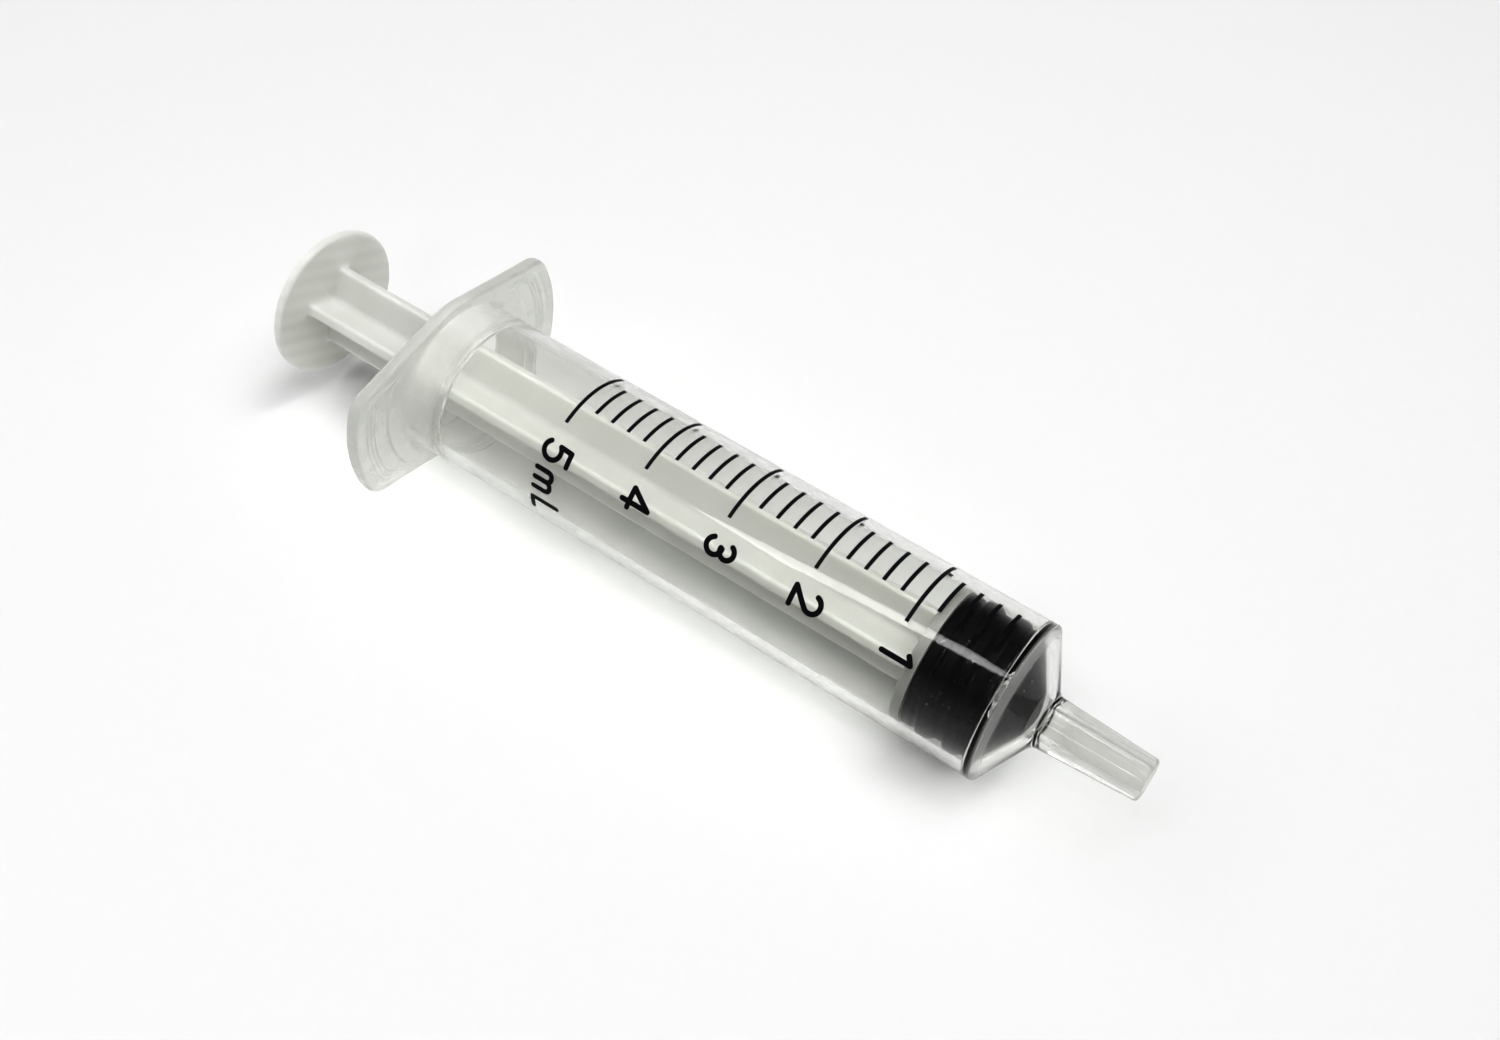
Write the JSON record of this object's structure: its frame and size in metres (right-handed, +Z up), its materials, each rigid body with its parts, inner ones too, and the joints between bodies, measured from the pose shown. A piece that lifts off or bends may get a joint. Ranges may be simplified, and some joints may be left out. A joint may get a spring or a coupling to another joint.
{
  "type": "oral syringe",
  "caption": "Clear graduated oral syringe with finger flange, conical nose and plain tapered nozzle, milky plunger rod and black rubber gasket.",
  "frame": {"origin": "centre of the nozzle's outlet, on the barrel's axis", "axes": "+X along the barrel's axis and out of the nozzle, +Y along the long axis of the finger flange, +Z up out of the flange's flat side, where the scale is printed"},
  "size_m": [0.0862, 0.0264, 0.016],
  "materials": {
    "clear_plastic": "clear polypropylene, polished mould",
    "milky_plastic": "natural polypropylene, translucent, satin",
    "black_rubber": "moulded rubber with a film of silicone oil",
    "black_ink": "pad-printed ink"
  },
  "bodies": {
    "barrel": {"barrel": "clear_plastic", "scale_major_lines": "black_ink", "scale_minor_lines": "black_ink", "scale_numerals": "black_ink"},
    "gasket": {"gasket": "black_rubber"},
    "plunger_rod": {"plunger_rod": "milky_plastic"}
  },
  "joints": [
    {"name": "plunger_slide", "type": "slide", "parent": "barrel", "child": "gasket", "axis": [-1, 0, 0], "range_m": [0, 0.0468]},
    {"name": "rod_turn", "type": "hinge", "parent": "gasket", "child": "plunger_rod", "pos_m": [-0.0186, 0, 0], "axis": [1, 0, 0], "continuous": true}
  ]
}
